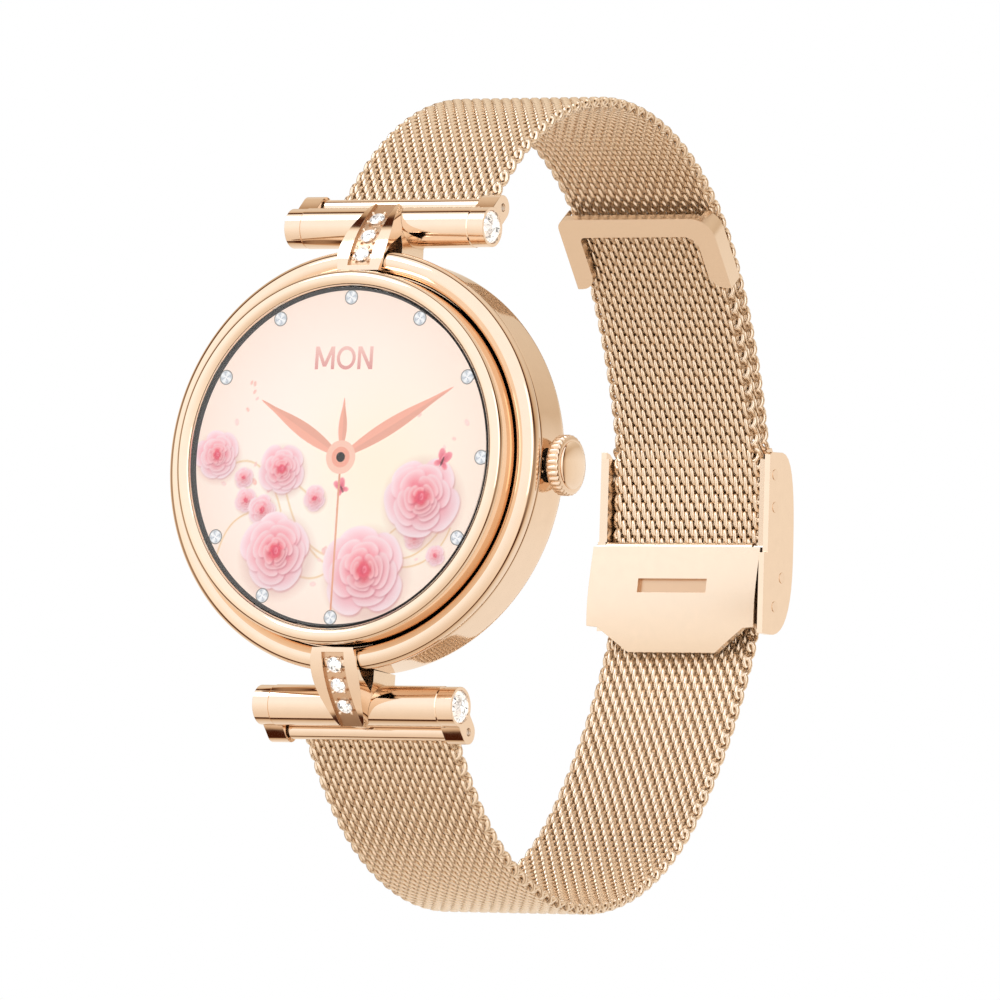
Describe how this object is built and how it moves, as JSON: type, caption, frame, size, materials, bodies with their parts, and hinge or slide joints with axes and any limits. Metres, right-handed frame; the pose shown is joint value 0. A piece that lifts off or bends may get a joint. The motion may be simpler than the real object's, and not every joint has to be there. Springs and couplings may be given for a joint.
{
  "type": "smartwatch",
  "caption": "Round dress smartwatch with a push crown, jewelled arch lugs, a fine woven mesh strap closed in a loop, and a fold-over sliding clasp.",
  "frame": {"origin": "centre of the sensor window's outer face, on the back of the case", "axes": "+Y out of the case back towards the wrist, +Z towards twelve o'clock, +X towards the crown at three o'clock"},
  "size_m": [0.0412, 0.07, 0.0768],
  "materials": {
    "case_metal": "polished rose gold plating",
    "bezel_metal": "mirror polished rose gold",
    "cover_glass": "clear, polished",
    "gasket_rubber": "matte",
    "display": "lit dial picture with a black border",
    "carrier_plastic": "moulded",
    "circuit_board": "solder mask",
    "battery_foil": "foil pouch",
    "motor_can": "plain",
    "sensor_glass": "dark smoked dome",
    "back_metal": "satin, turned",
    "screw_steel": "plain",
    "contact_gold": "gold flash",
    "tube_steel": "turned",
    "switch_body": "moulded",
    "seal_rubber": "matte",
    "crown_metal": "polished, grooved",
    "crown_cap_metal": "mirror polished dome",
    "lug_metal": "polished",
    "arch_metal": "polished",
    "stone": "round-cut clear stones",
    "bar_steel": "ground",
    "mesh_metal": "woven wire, rose gold plated",
    "fitting_metal": "polished",
    "cover_metal": "polished rose gold",
    "cover_pin": "polished",
    "slider_metal": "satin",
    "flap_metal": "fine satin",
    "clip_metal": "satin"
  },
  "bodies": {
    "case": {"case_middle": "case_metal", "bezel_ring": "bezel_metal", "cover_glass": "cover_glass", "glass_gasket": "gasket_rubber", "display_panel": "display", "display_carrier": "carrier_plastic", "main_board": "circuit_board", "battery": "battery_foil", "vibration_motor": "motor_can", "inner_frame": "carrier_plastic", "sensor_board": "circuit_board", "sensor_window": "sensor_glass", "case_back": "back_metal", "case_back_gasket": "gasket_rubber", "case_back_screws": "screw_steel", "charging_contacts": "contact_gold", "crown_tube": "tube_steel", "crown_switch": "switch_body", "upper_lug_neck": "lug_metal", "upper_lug_arch": "arch_metal", "upper_lug_bar": "lug_metal", "upper_lug_ears": "lug_metal", "upper_spring_bar": "bar_steel", "lower_lug_neck": "lug_metal", "lower_lug_arch": "arch_metal", "lower_lug_bar": "lug_metal", "lower_lug_ears": "lug_metal", "lower_spring_bar": "bar_steel", "arch_stones": "stone", "bar_end_stones": "stone"},
    "crown_shaft": {"crown_stem": "tube_steel"},
    "crown": {"crown_seal": "seal_rubber", "crown_knob": "crown_metal", "crown_cap": "crown_cap_metal"},
    "upper_strap_1": {"upper_end_tube": "fitting_metal", "upper_mesh_1": "mesh_metal"},
    "upper_strap_2": {"upper_mesh_2": "mesh_metal"},
    "upper_strap_3": {"upper_mesh_3": "mesh_metal"},
    "upper_strap_4": {"upper_mesh_4": "mesh_metal", "upper_end_fitting": "fitting_metal"},
    "clasp_cover": {"clasp_cover": "cover_metal", "clasp_hinge_bar": "bar_steel", "clasp_pins": "cover_pin"},
    "lower_strap_1": {"lower_end_tube": "fitting_metal", "lower_mesh_1": "mesh_metal"},
    "lower_strap_2": {"lower_mesh_2": "mesh_metal"},
    "lower_strap_3": {"lower_mesh_3": "mesh_metal"},
    "lower_strap_4": {"lower_mesh_4": "mesh_metal", "slider_frame": "slider_metal", "flap_pin": "bar_steel"},
    "lock_flap": {"lock_flap": "flap_metal"},
    "tail_1": {"tail_mesh_1": "mesh_metal"},
    "tail_2": {"tail_mesh_2": "mesh_metal", "tail_clip": "clip_metal"}
  },
  "joints": [
    {"name": "crown_press", "type": "slide", "parent": "case", "child": "crown_shaft", "axis": [-1, 0, 0], "range_m": [0, 0.0004], "stiffness_N_per_m": 1500},
    {"name": "crown_turn", "type": "hinge", "parent": "crown_shaft", "child": "crown", "pos_m": [0.0205, -0.0046, 0], "axis": [1, 0, 0], "continuous": true},
    {"name": "strap_open", "type": "hinge", "parent": "case", "child": "lower_strap_1", "pos_m": [0, -0.0017, -0.0243], "axis": [-1, 0, 0], "range_deg": [0, 24]},
    {"name": "upper_root", "type": "hinge", "parent": "case", "child": "upper_strap_1", "pos_m": [0, -0.0017, 0.0243], "axis": [1, 0, 0], "range_deg": [0, 48]},
    {"name": "lower_bend_1", "type": "hinge", "parent": "lower_strap_1", "child": "lower_strap_2", "pos_m": [0, 0.01317, -0.03545], "axis": [-1, 0, 0], "range_deg": [0, 24]},
    {"name": "lower_bend_2", "type": "hinge", "parent": "lower_strap_2", "child": "lower_strap_3", "pos_m": [0, 0.03175, -0.03695], "axis": [-1, 0, 0], "range_deg": [0, 24]},
    {"name": "lower_bend_3", "type": "hinge", "parent": "lower_strap_3", "child": "lower_strap_4", "pos_m": [0, 0.04717, -0.02648], "axis": [-1, 0, 0], "range_deg": [0, 24]},
    {"name": "upper_bend_1", "type": "hinge", "parent": "upper_strap_1", "child": "upper_strap_2", "pos_m": [0, 0.01317, 0.03545], "axis": [1, 0, 0], "range_deg": [0, 36]},
    {"name": "upper_bend_2", "type": "hinge", "parent": "upper_strap_2", "child": "upper_strap_3", "pos_m": [0, 0.03175, 0.03695], "axis": [1, 0, 0], "range_deg": [0, 36]},
    {"name": "upper_bend_3", "type": "hinge", "parent": "upper_strap_3", "child": "upper_strap_4", "pos_m": [0, 0.04717, 0.02648], "axis": [1, 0, 0], "range_deg": [0, 36]},
    {"name": "tail_bend_1", "type": "hinge", "parent": "lower_strap_4", "child": "tail_1", "pos_m": [0, 0.05459, 0.00874], "axis": [-1, 0, 0], "range_deg": [0, 12]},
    {"name": "tail_bend_2", "type": "hinge", "parent": "tail_1", "child": "tail_2", "pos_m": [0, 0.04921, 0.02102], "axis": [-1, 0, 0], "range_deg": [0, 12]},
    {"name": "cover_lift", "type": "hinge", "parent": "upper_strap_4", "child": "clasp_cover", "pos_m": [0, 0.05704, 0.00752], "axis": [1, 0, 0], "range_deg": [0, 80]},
    {"name": "flap_lift", "type": "hinge", "parent": "lower_strap_4", "child": "lock_flap", "pos_m": [0, 0.05432, -0.00031], "axis": [-1, 0, 0], "range_deg": [0, 70]}
  ],
  "couplings": [
    {"joint": "upper_root", "follows": "strap_open", "ratio": 2},
    {"joint": "lower_bend_1", "follows": "strap_open", "ratio": 1},
    {"joint": "lower_bend_2", "follows": "strap_open", "ratio": 1},
    {"joint": "lower_bend_3", "follows": "strap_open", "ratio": 1},
    {"joint": "upper_bend_1", "follows": "strap_open", "ratio": 1.5},
    {"joint": "upper_bend_2", "follows": "strap_open", "ratio": 1.5},
    {"joint": "upper_bend_3", "follows": "strap_open", "ratio": 1.5},
    {"joint": "tail_bend_1", "follows": "strap_open", "ratio": 0.5},
    {"joint": "tail_bend_2", "follows": "strap_open", "ratio": 0.5}
  ]
}
